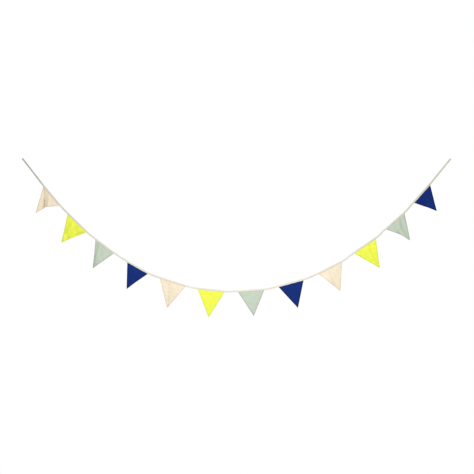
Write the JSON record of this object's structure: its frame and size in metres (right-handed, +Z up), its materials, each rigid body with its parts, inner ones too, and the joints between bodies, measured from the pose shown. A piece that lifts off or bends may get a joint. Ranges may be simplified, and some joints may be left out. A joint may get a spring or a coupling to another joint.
{
  "type": "fabric bunting",
  "caption": "Swag of triangular cotton pennants in peach, yellow, sage and navy, their top edges sewn into a long folded off-white tape with free ends.",
  "frame": {"origin": "the left end of the tape, at the middle of its height, where it is pinned up", "axes": "+X runs from the left end to the right end, +Z is up, -Y is the front"},
  "size_m": [2.4922, 0.0313, 0.9275],
  "materials": {
    "tape": "folded off-white cotton tape, lockstitched near its open edge",
    "cloth_peach": "plain-woven cotton in pale peach, matt",
    "cloth_yellow": "plain-woven cotton in bright lemon yellow, matt",
    "cloth_sage": "plain-woven cotton in pale grey-green, matt",
    "cloth_navy": "plain-woven cotton in deep royal navy, matt"
  },
  "bodies": {
    "root": {"tape": "tape", "pennant_01": "cloth_peach", "pennant_02": "cloth_yellow", "pennant_03": "cloth_sage", "pennant_04": "cloth_navy", "pennant_05": "cloth_peach", "pennant_06": "cloth_yellow", "pennant_07": "cloth_sage", "pennant_08": "cloth_navy", "pennant_09": "cloth_peach", "pennant_10": "cloth_yellow", "pennant_11": "cloth_sage", "pennant_12": "cloth_navy"}
  },
  "joints": []
}
